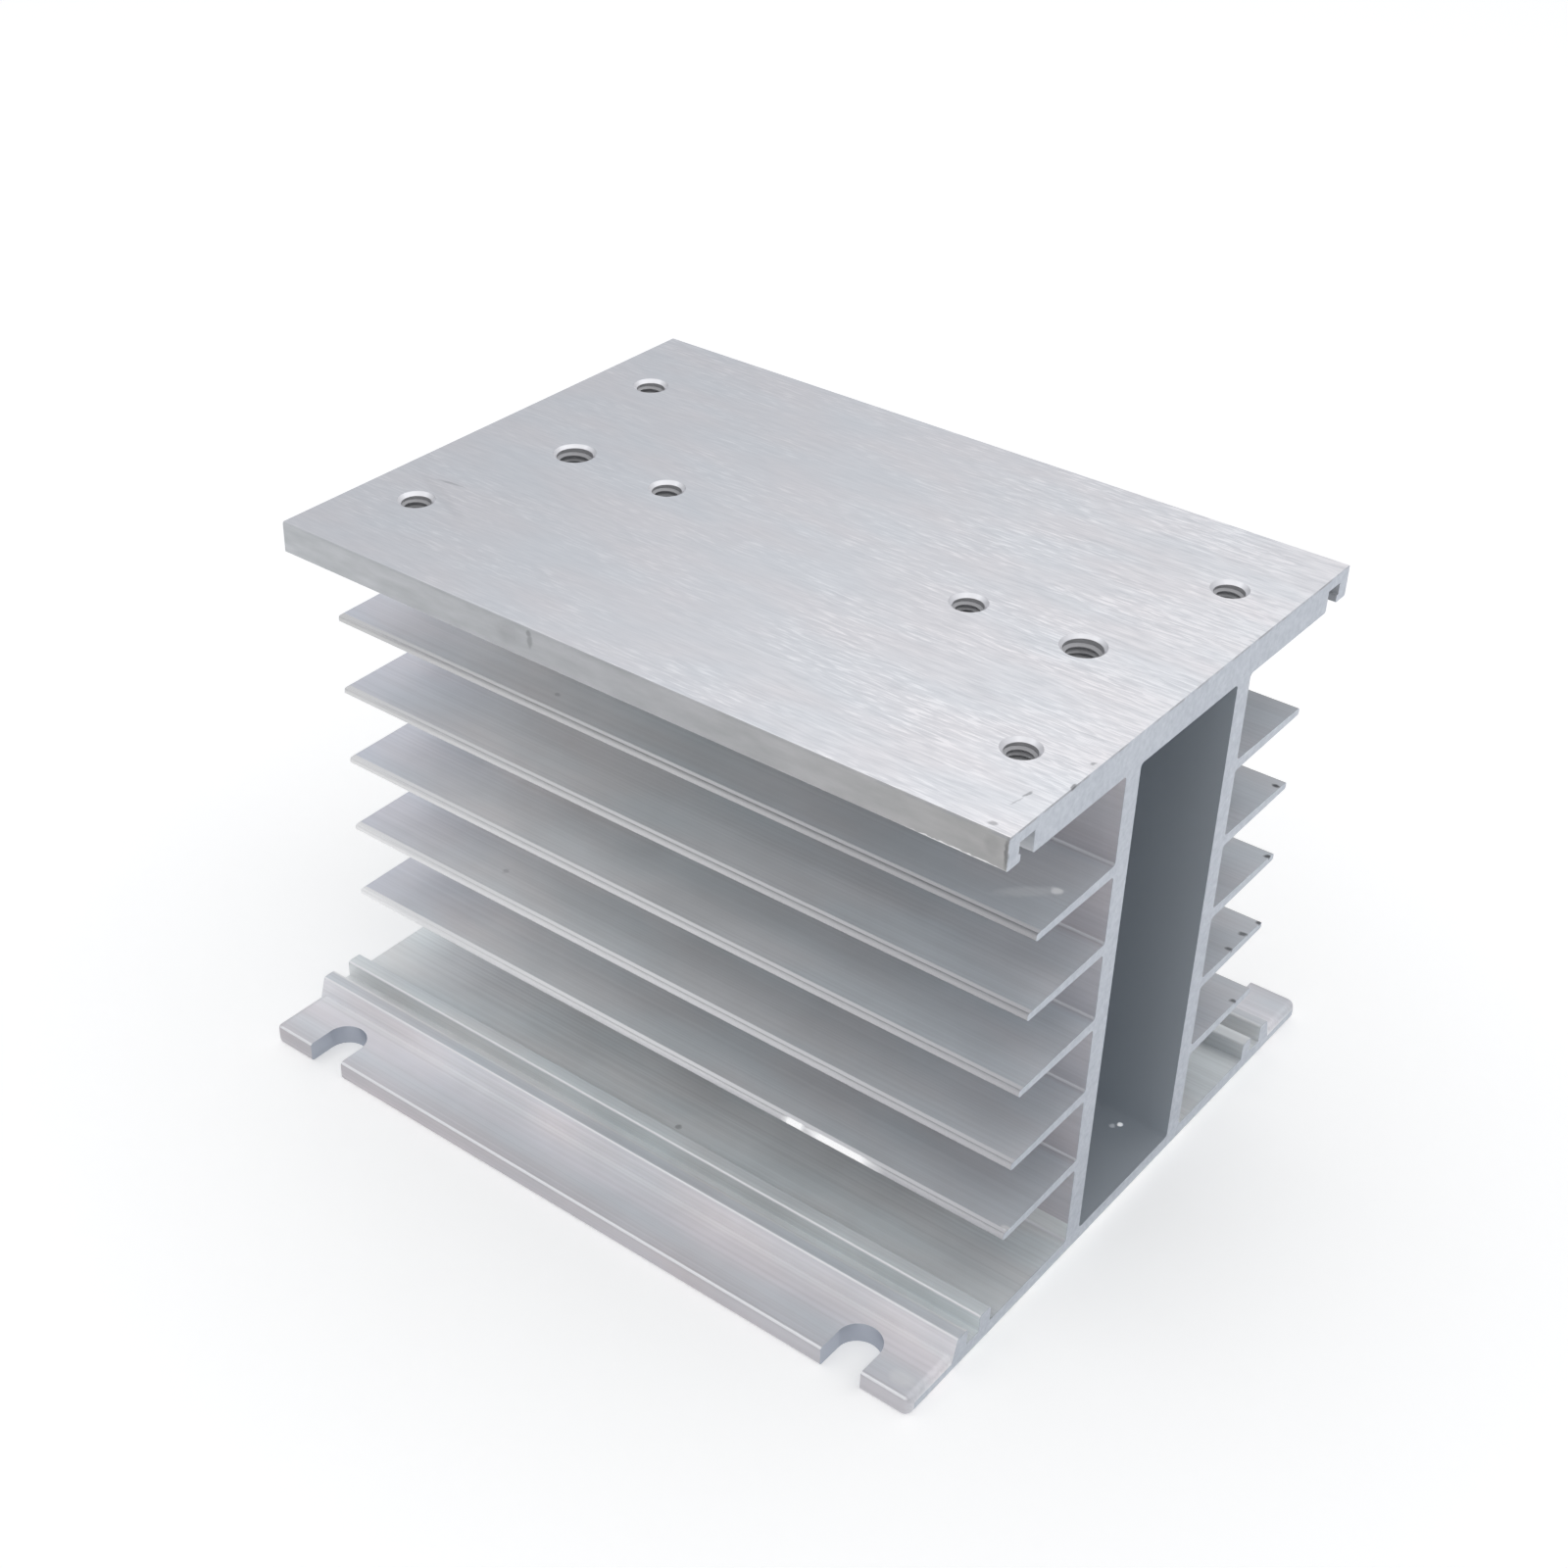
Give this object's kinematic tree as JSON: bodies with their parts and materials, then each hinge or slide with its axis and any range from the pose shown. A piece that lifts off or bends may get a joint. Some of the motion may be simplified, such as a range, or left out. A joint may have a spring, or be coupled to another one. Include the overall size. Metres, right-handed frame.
{
  "type": "heat sink",
  "caption": "Extruded heat sink for a panel-mounted solid-state relay: a flat tapped device plate on a hollow finned spine, with slotted feet.",
  "frame": {"origin": "centre of the underside of the base", "axes": "+X along the extrusion from one sawn end to the other, +Y across the feet, +Z from the base up to the brushed device face"},
  "size_m": [0.11, 0.0984, 0.079],
  "materials": {
    "aluminium": "brushed device face, satin extruded sides, matt sawn ends"
  },
  "bodies": {
    "root": {"heat_sink": "aluminium"}
  },
  "joints": []
}
